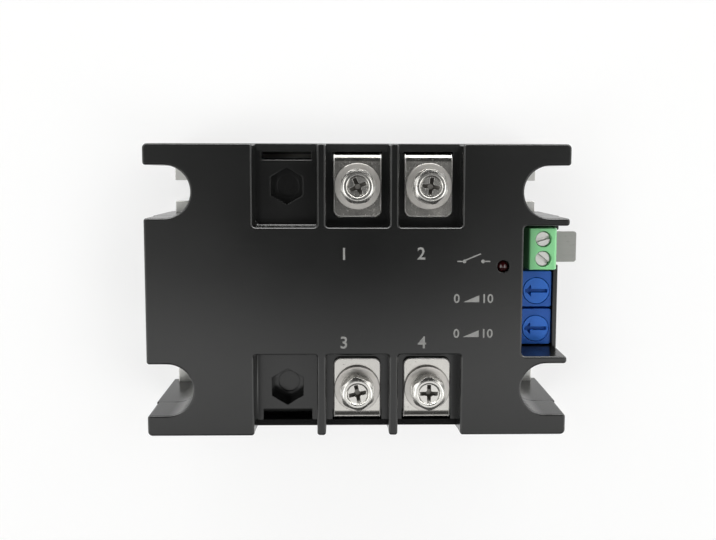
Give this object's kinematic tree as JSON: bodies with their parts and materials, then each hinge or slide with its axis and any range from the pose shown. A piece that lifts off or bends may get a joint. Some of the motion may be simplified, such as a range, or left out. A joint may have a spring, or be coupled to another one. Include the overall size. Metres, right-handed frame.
{
  "type": "soft starter",
  "caption": "Flat black motor soft-start module on a metal base plate, with walled screw-terminal bays along both long edges and a control recess at one end.",
  "frame": {"origin": "middle of the base plate's underside", "axes": "+Z out of the front face, +X along the length towards the control recess, +Y towards the input terminals"},
  "size_m": [0.1114, 0.0746, 0.033],
  "materials": {
    "black_plastic": "satin",
    "plate_metal": "satin",
    "plated_strip": "satin",
    "plated_steel": "satin",
    "small_metal": "satin",
    "link_metal": "satin",
    "green_plastic": "satin",
    "blue_plastic": "satin",
    "red_lens": "gloss",
    "board": "satin",
    "ceramic": "matte",
    "copper": "satin",
    "silicon": "satin",
    "chip_black": "matte",
    "film_red": "satin",
    "resistor_tan": "satin"
  },
  "bodies": {
    "housing": {"top_cover": "black_plastic", "lower_case": "black_plastic", "base_plate": "plate_metal", "input_terminal_1": "plated_strip", "input_terminal_2": "plated_strip", "output_terminal_1": "plated_strip", "output_terminal_2": "plated_strip", "terminal_nut_1": "plated_steel", "terminal_nut_2": "plated_steel", "terminal_nut_3": "plated_steel", "terminal_nut_4": "plated_steel", "control_board": "board", "terminal_block": "green_plastic", "block_contact_1": "small_metal", "block_contact_2": "small_metal", "shorting_link": "link_metal", "trimmer_body_1": "blue_plastic", "trimmer_body_2": "blue_plastic", "trimmer_pins": "small_metal", "status_lamp": "red_lens", "lamp_leads": "small_metal", "ceramic_substrate": "ceramic", "copper_pads": "copper", "thyristor_1": "silicon", "thyristor_2": "silicon", "chip_strap_1": "copper", "chip_strap_2": "copper", "gate_leads": "small_metal", "controller_chip": "chip_black", "optocoupler_1": "chip_black", "optocoupler_2": "chip_black", "rectifier": "chip_black", "supply_capacitor": "film_red", "smoothing_capacitor": "chip_black", "resistors": "resistor_tan"},
    "washers_1": {"flat_washer_1": "plated_steel", "spring_washer_1": "plated_steel"},
    "screw_1": {"terminal_screw_1": "plated_steel"},
    "washers_2": {"flat_washer_2": "plated_steel", "spring_washer_2": "plated_steel"},
    "screw_2": {"terminal_screw_2": "plated_steel"},
    "washers_3": {"flat_washer_3": "plated_steel", "spring_washer_3": "plated_steel"},
    "screw_3": {"terminal_screw_3": "plated_steel"},
    "washers_4": {"flat_washer_4": "plated_steel", "spring_washer_4": "plated_steel"},
    "screw_4": {"terminal_screw_4": "plated_steel"},
    "clamp_screw_1": {"block_screw_1": "small_metal"},
    "clamp_cage_1": {"block_cage_1": "small_metal"},
    "rotor_1": {"trimmer_rotor_1": "blue_plastic"},
    "clamp_screw_2": {"block_screw_2": "small_metal"},
    "clamp_cage_2": {"block_cage_2": "small_metal"},
    "rotor_2": {"trimmer_rotor_2": "blue_plastic"}
  },
  "joints": [
    {"name": "washers_1_lift", "type": "slide", "parent": "housing", "child": "washers_1", "axis": [0, 0, 1], "range_m": [0, 0.004]},
    {"name": "screw_1_turn", "type": "hinge", "parent": "washers_1", "child": "screw_1", "pos_m": [0, 0.026, 0.0295], "axis": [0, 0, 1], "continuous": true},
    {"name": "washers_2_lift", "type": "slide", "parent": "housing", "child": "washers_2", "axis": [0, 0, 1], "range_m": [0, 0.004]},
    {"name": "screw_2_turn", "type": "hinge", "parent": "washers_2", "child": "screw_2", "pos_m": [0.018, 0.026, 0.0295], "axis": [0, 0, 1], "continuous": true},
    {"name": "washers_3_lift", "type": "slide", "parent": "housing", "child": "washers_3", "axis": [0, 0, 1], "range_m": [0, 0.004]},
    {"name": "screw_3_turn", "type": "hinge", "parent": "washers_3", "child": "screw_3", "pos_m": [0, -0.026, 0.0295], "axis": [0, 0, 1], "continuous": true},
    {"name": "washers_4_lift", "type": "slide", "parent": "housing", "child": "washers_4", "axis": [0, 0, 1], "range_m": [0, 0.004]},
    {"name": "screw_4_turn", "type": "hinge", "parent": "washers_4", "child": "screw_4", "pos_m": [0.018, -0.026, 0.0295], "axis": [0, 0, 1], "continuous": true},
    {"name": "clamp_screw_1_turn", "type": "hinge", "parent": "housing", "child": "clamp_screw_1", "pos_m": [0.0478, 0.0125, 0.0244], "axis": [0, 0, 1], "continuous": true},
    {"name": "clamp_cage_1_drop", "type": "slide", "parent": "housing", "child": "clamp_cage_1", "axis": [0, 0, -1], "range_m": [0, 0.0015]},
    {"name": "rotor_1_turn", "type": "hinge", "parent": "housing", "child": "rotor_1", "pos_m": [0.04754, -0.00169, 0.0204], "axis": [0, 0, 1], "range_deg": [-140, 140]},
    {"name": "clamp_screw_2_turn", "type": "hinge", "parent": "housing", "child": "clamp_screw_2", "pos_m": [0.0478, 0.00742, 0.0244], "axis": [0, 0, 1], "continuous": true},
    {"name": "clamp_cage_2_drop", "type": "slide", "parent": "housing", "child": "clamp_cage_2", "axis": [0, 0, -1], "range_m": [0, 0.0015]},
    {"name": "rotor_2_turn", "type": "hinge", "parent": "housing", "child": "rotor_2", "pos_m": [0.04754, -0.0118, 0.0204], "axis": [0, 0, 1], "range_deg": [-140, 140]}
  ],
  "couplings": [
    {"joint": "screw_1_turn", "follows": "washers_1_lift", "rad_per_m": 7854},
    {"joint": "screw_2_turn", "follows": "washers_2_lift", "rad_per_m": 7854},
    {"joint": "screw_3_turn", "follows": "washers_3_lift", "rad_per_m": 7854},
    {"joint": "screw_4_turn", "follows": "washers_4_lift", "rad_per_m": 7854},
    {"joint": "clamp_screw_1_turn", "follows": "clamp_cage_1_drop", "rad_per_m": 12566},
    {"joint": "clamp_screw_2_turn", "follows": "clamp_cage_2_drop", "rad_per_m": 12566}
  ]
}
